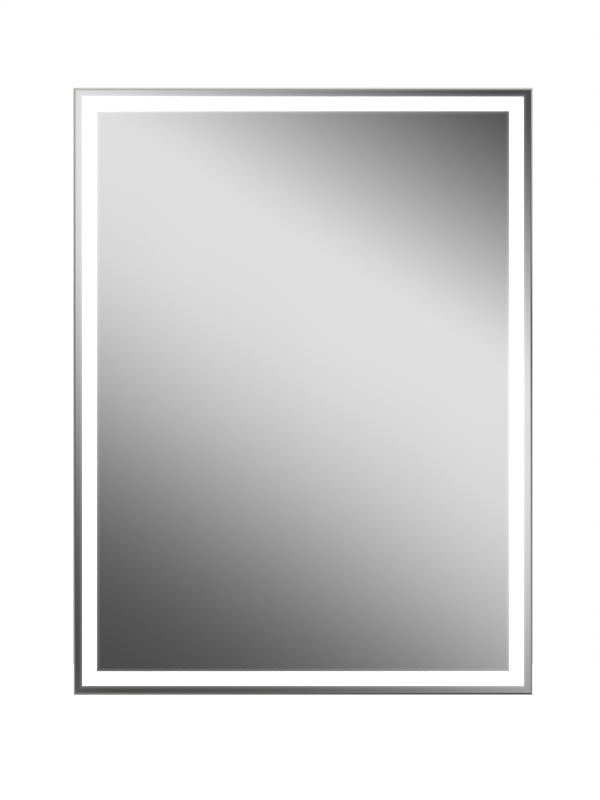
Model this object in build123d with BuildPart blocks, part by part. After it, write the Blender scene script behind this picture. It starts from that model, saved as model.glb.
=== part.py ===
from build123d import *
import os

# Lighted mirror cabinet for a bathroom wall: a flat aluminium carcass with glass shelves, and one
# edge-lit mirror door that hangs on three two-link hinges along its left side.
# Frame: the origin is the centre of the carcass back, on the wall. +X is right, +Y goes into the
# wall and +Z is up. All sizes are in millimetres and the door is closed.

# Door, outside
door_width = 605
door_height = 800
door_gap = 2
side_reveal = 2
finger_grip = 14

# Door rail: a mitred hollow section. u runs inward from its outer face, w back from its front.
rail_wall = 1.8
lip_width = 3.2
lip_thickness = 1.0
rim_bevel = 0.6
seat_web_thickness = 1.2
flange_thickness = 1.6
leg_thickness = 1.6
channel_height = 2.4
channel_lip_reach = 1.8
channel_lip_thickness = 1.0
pane_seat_width = 5
pane_seat_thickness = 1.2

# Door, from the front glass back
glass_thickness = 4
glass_clearance = 0.4
band_offset = 12
band_width = 19.5
etch_depth = 0.15
diffuser_overlap = 2
diffuser_margin = 6.5
diffuser_clearance = 0.5
guide_thickness = 4
led_board_thickness = 1.2
led_board_width = 5
led_chip_height = 0.8
led_chip_width = 2.4
led_chip_length = 3.4
led_pitch = 40
led_end_margin = 24
led_board_gap = 0.3
led_guide_gap = 0.8
reflector_thickness = 0.5
tray_thickness = 1
pane_thickness = 3
pane_recess = 0.1
pane_clearance = 0.4
tape_thickness = 0.8

# Corner keys of the door
key_leg = 80
key_side_clearance = 0.4
key_face_clearance = 0.1
key_screw_inset = 39
key_screw_radius = 1.5

# Screws: clearance in a hole, height of a pan head, grip beyond the sheets and air at a blind tip
screw_clearance = 0.1
pan_head_height = 1.6
screw_grip = 4
screw_tip_gap = 0.1

# Carcass extrusion: p runs inward from its outer face, q back from its front.
body_depth = 112
panel_thickness = 14
panel_wall = 1.4
panel_front_wall = 1.8
panel_rear_wall = 1.8
first_web_depth = 44
second_web_space = 26
mirror_rear_space = 12
mirror_groove_reach = 5
back_mirror_thickness = 3
groove_clearance = 0.4
body_key_leg = 42
body_key_clearance = 0.3

# Wall rails, folded from sheet
wall_rail_thickness = 2
top_rail_height = 60
bottom_rail_height = 34
wall_rail_depth = 8
rail_screw_radius = 1.6
rail_screw_head = 2.8
wall_hole_radius = 4
wall_hole_spacing = 480
wall_hole_inset = 17

# Glass shelves and their supports
shelf_thickness = 5
shelf_side_clearance = 1.2
shelf_front_depth = 14
shelf_rear_gap = 2
shelf_corner_radius = 6
shelf_polish = 0.5
shelf_height = 130
support_radius = 4
support_length = 9
support_drop = 1.5
support_pin_radius = 2.4
support_pin_length = 6
support_pin_clearance = 0.1
support_front_depth = 26
support_mirror_gap = 14
shelf_hole_pitch = 32
shelf_hole_count = 3

# Electrics compartment under the top panel
cover_driver_gap = 8
cover_height = 56
cover_thickness = 1.2
cover_side_clearance = 0.6
cover_mirror_gap = 0.2
mirror_top_overlap = 8
bracket_width = 30
bracket_height = 20
bracket_foot = 16
bracket_thickness = 2
bracket_cover_gap = 10
cover_screw_radius = 1.5
cover_screw_head = 2.8
driver_length = 160
driver_width = 40
driver_height = 22
driver_corner_radius = 3
driver_x = -30
driver_rail_gap = 10
driver_foot = 12
driver_foot_thickness = 2.5
driver_slot_length = 8
driver_slot_width = 4
terminal_length = 34
terminal_width = 18
terminal_height = 14
terminal_x = 120
terminal_rail_gap = 20
terminal_chamfer = 3
terminal_ways = 3
terminal_port_radius = 2.4
terminal_port_depth = 5
wall_cable_x = 190
wall_cable_drop = 28
wall_cable_radius = 5
grommet_wall = 1.5
grommet_flange = 2.5
grommet_flange_thickness = 1.5
grommet_clearance = 0.05
door_cable_radius = 2.5
door_cable_drop = 30
cover_cable_inset = 40

# Sensor switch under the bottom panel
sensor_inset = 70.5
sensor_depth = 34
sensor_radius = 9
sensor_flange = 2
sensor_flange_thickness = 1.2
sensor_lens_radius = 4
sensor_lens_depth = 2
sensor_body_height = 22
sensor_clearance = 0.2

# Door bumpers on the free side
bumper_radius = 4
bumper_air = 0.3
bumper_chamfer = 0.4
bumper_inset = 60

# Hinges. Each lies in a plane where u runs inward from the outer face of the left side panel and v
# runs from the carcass front towards the room. Pivots, elbows and the hole stand with the door shut.
hinge_key_gap = 6
outer_fixed_pivot = (24.4, -22.75)
outer_moving_pivot = (4.9, 6.75)
outer_elbow = (13.4, 6.75)
inner_fixed_pivot = (33.25, -2.95)
inner_moving_pivot = (8.1, 11.85)
inner_elbow = (15.55, 13.0)
open_hole_centre = (7.6, 13.0)
open_hole_radius = 2.5
pin_radius = 1.1
pin_clearance = 0.05
link_width = 3.4
link_bend_radius = 4
outer_link_half = 3.5
outer_boss_radius = 2.3
fixed_boss_radius = 2.6
open_boss_wall = 0.9
link_gap = 0.4
inner_plate_thickness = 2
cup_wall = 1.5
cup_floor = 0.8
cup_boss_air = 0.8
cup_pivot_gap = 0.95
cup_end_wall = 1
cup_end_clearance = 0.1
cup_tray_gap = 0.3
ear_reach = 20
ear_clearance = 0.1
ear_screw_reach = 12
ear_screw_radius = 2
arm_wall = 1.8
arm_web = 1.6
arm_depth = 68
arm_web_front = 12
arm_crown = 2.4
arm_shoulder = 4
arm_shoulder_drop = 6
arm_tail = 8
arm_tail_radius = 2
plate_thickness = 2
plate_front = 18
plate_rear = 67
plate_half_width = 7
wing_reach = 24
wing_width = 14
wing_corner_radius = 3
wing_web_gap = 6
wing_screw_reach = 16
wing_screw_radius = 1.9
wing_screw_head = 3.4
wing_screw_length = 9
pin_overhang = 0.4
arm_screw_radius = 2.4
arm_screw_head = 3.6
arm_screw_depth = 61
damper_radius = 3.4
damper_length = 24
damper_rod_radius = 1.1
damper_front = 32
damper_rod_length = 5

# Door stack, as depths behind the door's front face
glass_front = lip_thickness
glass_rear = glass_front + glass_thickness
web_rear = glass_rear + seat_web_thickness
guide_rear = web_rear + guide_thickness
reflector_rear = guide_rear + reflector_thickness
tray_rear = reflector_rear + tray_thickness

# Hinge stack, outward from its middle plane, and how far the cup reaches into the door
inner_plate_near = outer_link_half + link_gap
inner_plate_far = inner_plate_near + inner_plate_thickness
cup_inner_half = inner_plate_far + link_gap
cup_half = cup_inner_half + cup_wall
cup_right = inner_fixed_pivot[0] - cup_pivot_gap
cup_deep = open_hole_centre[1] + open_hole_radius + open_boss_wall + cup_boss_air + cup_floor

# The door is as thick as its stack with the hinge cup behind it, and its rails as wide as the cup
door_thickness = tray_rear + cup_tray_gap + cup_deep - door_gap
flange_width = side_reveal + cup_right + cup_end_clearance + leg_thickness
seat_web_reach = band_offset - diffuser_overlap - diffuser_clearance
hinge_inset = rail_wall + key_side_clearance + key_leg + hinge_key_gap + ear_reach + cup_half

# Carcass and places
body_width = door_width - 2 * side_reveal
body_height = door_height - side_reveal - finger_grip
door_mid_z = (side_reveal - finger_grip) / 2
body_front_y = -body_depth
door_rear_y = body_front_y - door_gap
door_front_y = door_rear_y - door_thickness
inner_x = body_width / 2 - panel_thickness
inner_z = body_height / 2 - panel_thickness
mirror_groove_depth = body_depth - mirror_rear_space
second_web_depth = mirror_groove_depth - second_web_space
support_rear_depth = mirror_groove_depth - support_mirror_gap
rail_front_depth = body_depth - wall_rail_depth
driver_depth = rail_front_depth - driver_rail_gap - driver_width
cover_front_depth = driver_depth - cover_driver_gap
bracket_depth = cover_front_depth + bracket_cover_gap
terminal_depth = rail_front_depth - terminal_rail_gap - terminal_width
wing_depth = first_web_depth - wing_web_gap
sensor_x = body_width / 2 - sensor_inset
hinge_heights = {
    "upper": door_mid_z + door_height / 2 - hinge_inset,
    "middle": door_mid_z,
    "lower": door_mid_z - door_height / 2 + hinge_inset,
}

os.makedirs("parts", exist_ok=True)


def keep(name, piece):
    """Label a finished piece and write it to its own file."""
    piece.part.label = name
    export_step(piece.part, f"parts/{name}.step")


def bar(x0, x1, y0, y1, mode=Mode.ADD):
    """Add or cut a rectangle, given by its edges, in the sketch being drawn."""
    with Locations(((x0 + x1) / 2, (y0 + y1) / 2)):
        Rectangle(x1 - x0, y1 - y0, mode=mode)


def edge_planes(width, height, mid_z, front_y):
    """Planes on the four outer faces: x runs inward, y runs back and z runs along the edge."""
    left = Plane((-width / 2, front_y, mid_z), x_dir=(1, 0, 0), z_dir=(0, 0, 1))
    right = Plane((width / 2, front_y, mid_z), x_dir=(-1, 0, 0), z_dir=(0, 0, -1))
    top = Plane((0, front_y, mid_z + height / 2), x_dir=(0, 0, -1), z_dir=(1, 0, 0))
    bottom = Plane((0, front_y, mid_z - height / 2), x_dir=(0, 0, 1), z_dir=(-1, 0, 0))
    return {"left": left, "right": right, "top": top, "bottom": bottom}


def mitred(place, length, width, depth, draw_section):
    """Extrude a section along its edge plane and cut both ends at 45 degrees."""
    with BuildPart() as rail:
        with BuildSketch(place):
            draw_section()
        extrude(amount=length / 2, both=True)
        with BuildSketch(Plane(place.origin, x_dir=place.z_dir, z_dir=place.y_dir)):
            half = length / 2
            Polygon((-half, 0), (half, 0), (half - width, width), (width - half, width), align=None)
        extrude(amount=depth, mode=Mode.INTERSECT)
    return rail


def facing_front(y):
    """The upright plane at depth y that looks at the room: x to the right, y up."""
    return Plane((0, y, 0), x_dir=(1, 0, 0), z_dir=(0, -1, 0))


def facing_wall(y):
    """The upright plane at depth y that looks at the wall: x to the left, y up."""
    return Plane((0, y, 0), x_dir=(-1, 0, 0), z_dir=(0, 1, 0))


def door_sheet(inset, front_y, thickness):
    """A flat sheet of the door, inset from the door's outer faces, with its front at front_y."""
    with BuildPart() as sheet:
        with BuildSketch(facing_front(front_y)):
            with Locations((0, door_mid_z)):
                Rectangle(door_width - 2 * inset, door_height - 2 * inset)
        extrude(amount=-thickness)
    return sheet


def door_ring(inset, width, front_y, thickness):
    """A rectangular ring of the door, width wide, inset from the door's outer faces."""
    with BuildPart() as ring:
        with BuildSketch(facing_front(front_y)):
            with Locations((0, door_mid_z)):
                Rectangle(door_width - 2 * inset, door_height - 2 * inset)
                inner = inset + width
                Rectangle(door_width - 2 * inner, door_height - 2 * inner, mode=Mode.SUBTRACT)
        extrude(amount=-thickness)
    return ring


def countersunk(radius, head_radius, head_depth, length):
    """A countersunk screw, flush with the plane of each current location."""
    Cone(radius, head_radius, head_depth, align=(Align.CENTER, Align.CENTER, Align.MAX))
    Cylinder(radius, length, align=(Align.CENTER, Align.CENTER, Align.MAX))


def pan_head(radius, head_radius, length):
    """A pan-head screw that sits on the plane of each current location."""
    Cylinder(head_radius, pan_head_height, align=(Align.CENTER, Align.CENTER, Align.MIN))
    Cylinder(radius, length, align=(Align.CENTER, Align.CENTER, Align.MAX))


# Rear of the door rail, as depths behind the door's front face
flange_front = door_thickness - flange_thickness
channel_front = flange_front - channel_height
pane_front = door_thickness - pane_recess - pane_thickness
pane_seat_rear = pane_front - tape_thickness
pane_seat_front = pane_seat_rear - pane_seat_thickness
leg_outer = flange_width - leg_thickness


def door_section():
    """Outer wall, front lip, glass seat, rear flange with its key channel, leg and pane seat."""
    bar(0, rail_wall, 0, door_thickness)
    bar(0, lip_width, 0, lip_thickness)
    bar(0, seat_web_reach, glass_rear, web_rear)
    bar(0, flange_width, flange_front, door_thickness)
    bar(leg_outer, flange_width, tray_rear, door_thickness)
    bar(0, rail_wall + channel_lip_reach, channel_front - channel_lip_thickness, channel_front)
    bar(leg_outer - channel_lip_reach, leg_outer, channel_front - channel_lip_thickness, channel_front)
    bar(leg_outer, flange_width + pane_seat_width, pane_seat_front, pane_seat_rear)
    with BuildLine() as bevel:
        Polyline((0, 0), (rim_bevel, 0), (0, rim_bevel), close=True)
    make_face(bevel.edges(), mode=Mode.SUBTRACT)


door_edges = edge_planes(door_width, door_height, door_mid_z, door_front_y)
door_rail_width = flange_width + pane_seat_width
door_lengths = {"left": door_height, "right": door_height, "top": door_width, "bottom": door_width}

# Screws of the corner keys, one in each leg
key_middle = (rail_wall + leg_outer) / 2
key_screw_spots = [
    (side_x * (door_width / 2 - key_middle - along_x),
     door_mid_z + side_z * (door_height / 2 - key_middle - along_z))
    for side_x in (-1, 1)
    for side_z in (-1, 1)
    for along_x, along_z in ((0, key_screw_inset), (key_screw_inset, 0))
]
key_head_radius = key_screw_radius + flange_thickness
flange_screw_length = flange_thickness + channel_height - screw_tip_gap

# Hinge planes, and the box that each cup takes in the left door rail
hinge_planes = {
    name: Plane((-body_width / 2, body_front_y, z), x_dir=(1, 0, 0), z_dir=(0, 0, -1))
    for name, z in hinge_heights.items()
}
rail_inner_u = rail_wall - side_reveal
leg_outer_u = leg_outer - side_reveal
door_rear_v = door_gap
cup_left = rail_inner_u + cup_end_clearance
channel_near_v = door_gap + flange_thickness
channel_far_v = channel_near_v + channel_height
ear_middle_u = (rail_inner_u + leg_outer_u) / 2
ear_screw_spots = [
    (body_width / 2 - ear_middle_u, z + side * (cup_half + ear_screw_reach))
    for z in hinge_heights.values()
    for side in (-1, 1)
]
ear_head_radius = ear_screw_radius + flange_thickness
door_cable_z = hinge_heights["upper"] - cup_half - ear_reach - door_cable_drop
door_cable_spot = (body_width / 2 - ear_middle_u, door_cable_z)

# Door rails
for side, place in door_edges.items():
    with BuildPart() as door_rail:
        add(mitred(place, door_lengths[side], door_rail_width, door_thickness, door_section).part)
        with Locations([facing_wall(door_rear_y) * Pos(x, z, 0) for x, z in key_screw_spots]):
            Cone(key_screw_radius + screw_clearance, key_head_radius + screw_clearance, flange_thickness,
                 align=(Align.CENTER, Align.CENTER, Align.MAX), mode=Mode.SUBTRACT)
        if side == "left":
            for plane in hinge_planes.values():
                with BuildSketch(plane):
                    bar(rail_inner_u, leg_outer_u, door_rear_v, cup_deep + cup_end_clearance)
                extrude(amount=cup_half + cup_end_clearance, both=True, mode=Mode.SUBTRACT)
            with Locations([facing_wall(door_rear_y) * Pos(x, z, 0) for x, z in ear_screw_spots]):
                Cone(ear_screw_radius + screw_clearance, ear_head_radius + screw_clearance,
                     flange_thickness, align=(Align.CENTER, Align.CENTER, Align.MAX), mode=Mode.SUBTRACT)
            with Locations(facing_wall(door_rear_y) * Pos(*door_cable_spot, 0)):
                Cylinder(door_cable_radius + grommet_wall, flange_thickness,
                         align=(Align.CENTER, Align.CENTER, Align.MAX), mode=Mode.SUBTRACT)
    keep(f"door_frame_{side}", door_rail)

# Corner keys: flat angles that slide in the channels behind the rear flange
with BuildPart() as door_corner_keys:
    with BuildSketch(facing_wall(door_rear_y - flange_thickness - key_face_clearance)):
        near = rail_wall + key_side_clearance
        far = leg_outer - key_side_clearance
        for side_x in (-1, 1):
            for side_z in (-1, 1):
                corner_x = side_x * door_width / 2
                corner_z = door_mid_z + side_z * door_height / 2
                with BuildLine() as angle:
                    Polyline(*[(corner_x - side_x * u, corner_z - side_z * h) for u, h in (
                        (near, near), (near + key_leg, near), (near + key_leg, far),
                        (far, far), (far, near + key_leg), (near, near + key_leg))], close=True)
                make_face(angle.edges())
    extrude(amount=-(channel_height - 2 * key_face_clearance))
    flange_inside = facing_wall(door_rear_y - flange_thickness)
    with Locations([flange_inside * Pos(x, z, 0) for x, z in key_screw_spots]):
        Cylinder(key_screw_radius + screw_clearance, channel_height,
                 align=(Align.CENTER, Align.CENTER, Align.MAX), mode=Mode.SUBTRACT)
keep("door_corner_keys", door_corner_keys)

with BuildPart() as door_corner_screws:
    with Locations([facing_wall(door_rear_y) * Pos(x, z, 0) for x, z in key_screw_spots]):
        countersunk(key_screw_radius, key_head_radius, flange_thickness, flange_screw_length)
keep("door_corner_screws", door_corner_screws)

# Front glass, with the etched band cut into its silvered back
glass_inset = rail_wall + glass_clearance
glass_front_y = door_front_y + glass_front
with BuildPart() as front_mirror:
    add(door_sheet(glass_inset, glass_front_y, glass_thickness).part)
    add(door_ring(band_offset, band_width, door_front_y + glass_rear - etch_depth, etch_depth).part,
        mode=Mode.SUBTRACT)
keep("front_mirror", front_mirror)

diffuser_inset = band_offset - diffuser_overlap
diffuser_width = diffuser_overlap + band_width + diffuser_margin
opal_diffuser = door_ring(diffuser_inset, diffuser_width, door_front_y + glass_rear, seat_web_thickness)
keep("opal_diffuser", opal_diffuser)

guide_inset = rail_wall + led_board_thickness + led_chip_height + led_guide_gap
guide_plate = door_sheet(guide_inset, door_front_y + web_rear, guide_thickness)
keep("light_guide", guide_plate)
reflector = door_sheet(guide_inset, door_front_y + guide_rear, reflector_thickness)
keep("reflector_sheet", reflector)
backing_tray = door_sheet(guide_inset, door_front_y + reflector_rear, tray_thickness)
keep("door_backing_tray", backing_tray)

# Strip lights: a board against each outer wall, with chips that shine into the edge of the guide
board_front = web_rear + led_board_gap
chip_front = web_rear + (guide_thickness - led_chip_width) / 2
with BuildPart() as led_strips:
    for side, place in door_edges.items():
        with BuildSketch(place):
            bar(rail_wall, rail_wall + led_board_thickness, board_front, board_front + led_board_width)
        extrude(amount=door_lengths[side] / 2 - led_end_margin, both=True)
keep("led_strips", led_strips)

with BuildPart() as led_chips:
    for side, place in door_edges.items():
        run = door_lengths[side] - 2 * led_end_margin - led_pitch
        chips = int(run / led_pitch) + 1
        board_face = Plane(
            place.origin + place.x_dir * (rail_wall + led_board_thickness)
            + place.y_dir * (chip_front + led_chip_width / 2),
            x_dir=place.z_dir, z_dir=place.x_dir)
        with BuildSketch(board_face):
            with GridLocations(led_pitch, 1, chips, 1):
                Rectangle(led_chip_length, led_chip_width)
        extrude(amount=led_chip_height)
keep("led_chips", led_chips)

# Inner mirror, taped to the pane seat
pane_inset = flange_width + pane_clearance
with BuildPart() as inner_mirror:
    add(door_sheet(pane_inset, door_front_y + pane_front, pane_thickness).part)
keep("inner_mirror", inner_mirror)
tape = door_ring(pane_inset, pane_seat_width - pane_clearance, door_front_y + pane_seat_rear,
                 pane_front - pane_seat_rear)
keep("mirror_tape", tape)


# Carcass panels
def panel_section():
    """Hollow section with two webs and the groove that holds the back mirror."""
    inner = panel_thickness - panel_wall
    groove_rear = mirror_groove_depth + back_mirror_thickness + groove_clearance
    groove_bottom = panel_thickness - mirror_groove_reach
    rear = body_depth - panel_rear_wall
    bar(0, panel_thickness, 0, body_depth)
    bar(panel_wall, inner, panel_front_wall, first_web_depth, mode=Mode.SUBTRACT)
    bar(panel_wall, inner, first_web_depth + panel_wall, second_web_depth, mode=Mode.SUBTRACT)
    bar(panel_wall, inner, second_web_depth + panel_wall, mirror_groove_depth - panel_wall,
        mode=Mode.SUBTRACT)
    bar(panel_wall, groove_bottom - panel_wall, mirror_groove_depth - panel_wall, rear,
        mode=Mode.SUBTRACT)
    bar(panel_wall, inner, groove_rear + panel_wall, rear, mode=Mode.SUBTRACT)
    bar(groove_bottom, panel_thickness, mirror_groove_depth, groove_rear, mode=Mode.SUBTRACT)


body_edges = edge_planes(body_width, body_height, 0, body_front_y)
body_lengths = {"left": body_height, "right": body_height, "top": body_width, "bottom": body_width}
panel_names = {
    "left": "side_panel_left",
    "right": "side_panel_right",
    "top": "top_panel",
    "bottom": "bottom_panel",
}

support_depths = (support_front_depth, support_rear_depth)
shelf_heights = (shelf_height, -shelf_height)
support_heights = [z - support_drop for z in shelf_heights]
hole_offsets = [(i - (shelf_hole_count - 1) / 2) * shelf_hole_pitch for i in range(shelf_hole_count)]


def on_inner_face(side, z, depth):
    """A location on the inner face of a side panel, at height z and depth behind the front."""
    sign = -1 if side == "left" else 1
    return Location(Plane((sign * inner_x, body_front_y + depth, z), x_dir=(0, 0, 1),
                          z_dir=(-sign, 0, 0)))


rail_tab_depth = body_depth - wall_rail_depth / 2 - wall_rail_thickness / 2
rail_tab_heights = (inner_z - top_rail_height / 2, -inner_z + bottom_rail_height / 2)
wing_spots = [(z + side * wing_screw_reach, wing_depth) for z in hinge_heights.values() for side in (-1, 1)]
bracket_screw_z = inner_z - cover_height + cover_thickness + bracket_height / 2 + bracket_thickness

for side, place in body_edges.items():
    with BuildPart() as panel:
        add(mitred(place, body_lengths[side], panel_thickness, body_depth, panel_section).part)
        if side in ("left", "right"):
            with Locations([on_inner_face(side, z + step, depth)
                            for z in support_heights for step in hole_offsets for depth in support_depths]):
                Cylinder(support_pin_radius + support_pin_clearance, panel_wall,
                         align=(Align.CENTER, Align.CENTER, Align.MAX), mode=Mode.SUBTRACT)
            with Locations([on_inner_face(side, z, rail_tab_depth) for z in rail_tab_heights]
                           + [on_inner_face(side, bracket_screw_z, bracket_depth + bracket_width / 2)]):
                Cylinder(rail_screw_radius + screw_clearance, panel_wall,
                         align=(Align.CENTER, Align.CENTER, Align.MAX), mode=Mode.SUBTRACT)
        if side == "left":
            with Locations([on_inner_face(side, z, depth) for z, depth in wing_spots]):
                Cylinder(wing_screw_radius + screw_clearance, panel_wall,
                         align=(Align.CENTER, Align.CENTER, Align.MAX), mode=Mode.SUBTRACT)
        if side == "bottom":
            with Locations((sensor_x, body_front_y + sensor_depth, -body_height / 2)):
                Cylinder(sensor_radius + sensor_clearance, panel_thickness,
                         align=(Align.CENTER, Align.CENTER, Align.MIN), mode=Mode.SUBTRACT)
    keep(panel_names[side], panel)

# Corner keys inside the carcass sections
with BuildPart() as body_corner_keys:
    with BuildSketch(facing_front(body_front_y + panel_front_wall + body_key_clearance)):
        near = panel_wall + body_key_clearance
        far = panel_thickness - panel_wall - body_key_clearance
        for side_x in (-1, 1):
            for side_z in (-1, 1):
                with BuildLine() as angle:
                    Polyline(*[(side_x * (body_width / 2 - p), side_z * (body_height / 2 - h)) for p, h in (
                        (near, near), (near + body_key_leg, near), (near + body_key_leg, far),
                        (far, far), (far, near + body_key_leg), (near, near + body_key_leg))], close=True)
                make_face(angle.edges())
    extrude(amount=-(first_web_depth - panel_front_wall - 2 * body_key_clearance))
keep("body_corner_keys", body_corner_keys)


# Wall rails: folded channels between the side panels, screwed to them through end tabs
def wall_rail(bottom_z, top_z, upper_flange_depth, lower_flange_depth, hole_z):
    """A channel with its web on the wall and its flanges and end tabs turned to the room."""
    with BuildPart() as rail:
        with BuildSketch(Plane.YZ):
            bar(-wall_rail_thickness, 0, bottom_z, top_z)
            bar(-(body_depth - upper_flange_depth), 0, top_z - wall_rail_thickness, top_z)
            bar(-(body_depth - lower_flange_depth), 0, bottom_z, bottom_z + wall_rail_thickness)
        extrude(amount=inner_x, both=True)
        with BuildSketch(Plane.XY.offset(bottom_z)):
            for end in (-1, 1):
                tab = end * (inner_x - wall_rail_thickness / 2)
                bar(tab - wall_rail_thickness / 2, tab + wall_rail_thickness / 2, -wall_rail_depth, 0)
        extrude(amount=top_z - bottom_z)
        with Locations([facing_front(0) * Pos(side * wall_hole_spacing / 2, hole_z, 0)
                        for side in (-1, 1)]):
            Cylinder(wall_hole_radius, 2 * wall_rail_thickness, mode=Mode.SUBTRACT)
        with Locations([on_inner_face(side, (top_z + bottom_z) / 2, rail_tab_depth)
                        for side in ("left", "right")]):
            Cylinder(rail_screw_radius + screw_clearance, 3 * wall_rail_thickness, mode=Mode.SUBTRACT)
    return rail


mirror_front_y = body_front_y + mirror_groove_depth + groove_clearance / 2
wall_hole_z = inner_z - wall_hole_inset
top_rail_bottom = inner_z - top_rail_height
wall_cable_z = inner_z - wall_cable_drop
with BuildPart() as top_wall_rail:
    add(wall_rail(top_rail_bottom, inner_z, rail_front_depth, rail_front_depth, wall_hole_z).part)
    with Locations(facing_front(0) * Pos(wall_cable_x, wall_cable_z, 0)):
        Cylinder(wall_cable_radius + grommet_wall, 2 * wall_rail_thickness, mode=Mode.SUBTRACT)
keep("top_wall_rail", top_wall_rail)
mirror_bottom_z = -inner_z + bottom_rail_height
bottom_wall_rail = wall_rail(-inner_z, mirror_bottom_z, mirror_groove_depth, rail_front_depth, -wall_hole_z)
keep("bottom_wall_rail", bottom_wall_rail)

with BuildPart() as rail_screws:
    with Locations([on_inner_face(side, z, rail_tab_depth) * Pos(0, 0, wall_rail_thickness)
                    for side in ("left", "right") for z in rail_tab_heights]):
        pan_head(rail_screw_radius, rail_screw_head, wall_rail_thickness + screw_grip)
keep("rail_screws", rail_screws)

# Mirror in the grooves of the side panels, standing on the bottom wall rail
compartment_floor = inner_z - cover_height
with BuildPart() as back_mirror:
    with BuildSketch(facing_front(mirror_front_y)):
        half = inner_x + mirror_groove_reach - groove_clearance
        bar(-half, half, mirror_bottom_z, compartment_floor + mirror_top_overlap)
    extrude(amount=-back_mirror_thickness)
keep("back_mirror", back_mirror)

# Shelves with eased corners and polished front edges
for name, z in zip(("upper_shelf", "lower_shelf"), shelf_heights):
    with BuildPart() as shelf:
        with BuildSketch(Plane.XY.offset(z)):
            half = inner_x - shelf_side_clearance
            bar(-half, half, body_front_y + shelf_front_depth, mirror_front_y - shelf_rear_gap)
        extrude(amount=shelf_thickness)
        front_corners = shelf.edges().filter_by(Axis.Z).group_by(Axis.Y)[0]
        fillet(front_corners, shelf_corner_radius)
        chamfer(shelf.edges().group_by(Axis.Z)[-1], shelf_polish)
    keep(name, shelf)

# Shelf supports: a pin in the side panel and a stub with a flat on top
with BuildPart() as shelf_supports:
    with Locations([on_inner_face(side, z, depth)
                    for side in ("left", "right") for z in support_heights for depth in support_depths]):
        Cylinder(support_radius, support_length, align=(Align.CENTER, Align.CENTER, Align.MIN))
        Cylinder(support_pin_radius, panel_wall + support_pin_length,
                 align=(Align.CENTER, Align.CENTER, Align.MAX))
    for z in shelf_heights:
        with BuildSketch(Plane.XY.offset(z)):
            Rectangle(2 * inner_x, 2 * body_depth)
        extrude(amount=support_radius, mode=Mode.SUBTRACT)
keep("shelf_supports", shelf_supports)

# Cover of the electrics compartment, an angle of sheet, with its brackets and screws
cover_half = inner_x - cover_side_clearance
cover_front_y = body_front_y + cover_front_depth
cover_rear_y = mirror_front_y - cover_mirror_gap
bracket_front_y = body_front_y + bracket_depth
bracket_middle_y = bracket_front_y + bracket_width / 2
cover_screw_x = inner_x - bracket_thickness - bracket_foot / 2
cover_cable_x = -inner_x + cover_cable_inset
cover_cable_z = compartment_floor + cover_height / 2
with BuildPart() as electrics_cover:
    with BuildSketch(Plane.YZ):
        bar(cover_front_y, cover_rear_y, compartment_floor, compartment_floor + cover_thickness)
        bar(cover_front_y, cover_front_y + cover_thickness, compartment_floor,
            inner_z - cover_side_clearance)
    extrude(amount=cover_half, both=True)
    fold = electrics_cover.edges().filter_by(Axis.X).group_by(Axis.Y)[0].sort_by(Axis.Z)[0]
    fillet(fold, cover_thickness)
    with Locations([(side * cover_screw_x, bracket_middle_y, compartment_floor) for side in (-1, 1)]):
        Cylinder(cover_screw_radius + screw_clearance, 3 * cover_thickness, mode=Mode.SUBTRACT)
    with Locations(facing_front(cover_front_y) * Pos(cover_cable_x, cover_cable_z, 0)):
        Cylinder(door_cable_radius + grommet_wall, 3 * cover_thickness, mode=Mode.SUBTRACT)
keep("electrics_cover", electrics_cover)

bracket_foot_z = compartment_floor + cover_thickness
with BuildPart() as cover_brackets:
    with BuildSketch(facing_front(bracket_front_y)):
        for side in (-1, 1):
            wall = sorted((side * inner_x, side * (inner_x - bracket_thickness)))
            foot = sorted((side * inner_x, side * (inner_x - bracket_thickness - bracket_foot)))
            bar(*wall, bracket_foot_z, bracket_foot_z + bracket_height)
            bar(*foot, bracket_foot_z, bracket_foot_z + bracket_thickness)
    extrude(amount=-bracket_width)
    with Locations([(side * cover_screw_x, bracket_middle_y, bracket_foot_z) for side in (-1, 1)]):
        Cylinder(cover_screw_radius + screw_clearance, 3 * bracket_thickness, mode=Mode.SUBTRACT)
    with Locations([on_inner_face(side, bracket_screw_z, bracket_depth + bracket_width / 2)
                    for side in ("left", "right")]):
        Cylinder(rail_screw_radius + screw_clearance, 3 * bracket_thickness, mode=Mode.SUBTRACT)
keep("cover_brackets", cover_brackets)

with BuildPart() as cover_screws:
    with Locations([on_inner_face(side, bracket_screw_z, bracket_depth + bracket_width / 2)
                    * Pos(0, 0, bracket_thickness) for side in ("left", "right")]):
        pan_head(rail_screw_radius, rail_screw_head, bracket_thickness + screw_grip)
    with Locations([Plane((side * cover_screw_x, bracket_middle_y, compartment_floor), z_dir=(0, 0, -1))
                    for side in (-1, 1)]):
        pan_head(cover_screw_radius, cover_screw_head, cover_thickness + bracket_thickness + screw_grip / 2)
keep("cover_screws", cover_screws)

# Driver for the strip lights: a rounded box with a slotted foot at each end, under the top panel
driver_mid_y = body_front_y + driver_depth + driver_width / 2
with BuildPart() as led_driver:
    with BuildSketch(Plane.XY.offset(inner_z - driver_height)):
        with Locations((driver_x, driver_mid_y)):
            RectangleRounded(driver_length, driver_width, driver_corner_radius)
    extrude(amount=driver_height)
    with BuildSketch(Plane.XY.offset(inner_z - driver_foot_thickness)):
        with Locations((driver_x, driver_mid_y)):
            Rectangle(driver_length + 2 * driver_foot, driver_width / 2)
            with GridLocations(driver_length + driver_foot, 1, 2, 1):
                SlotOverall(driver_slot_length, driver_slot_width, mode=Mode.SUBTRACT)
    extrude(amount=driver_foot_thickness)
keep("led_driver", led_driver)

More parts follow.
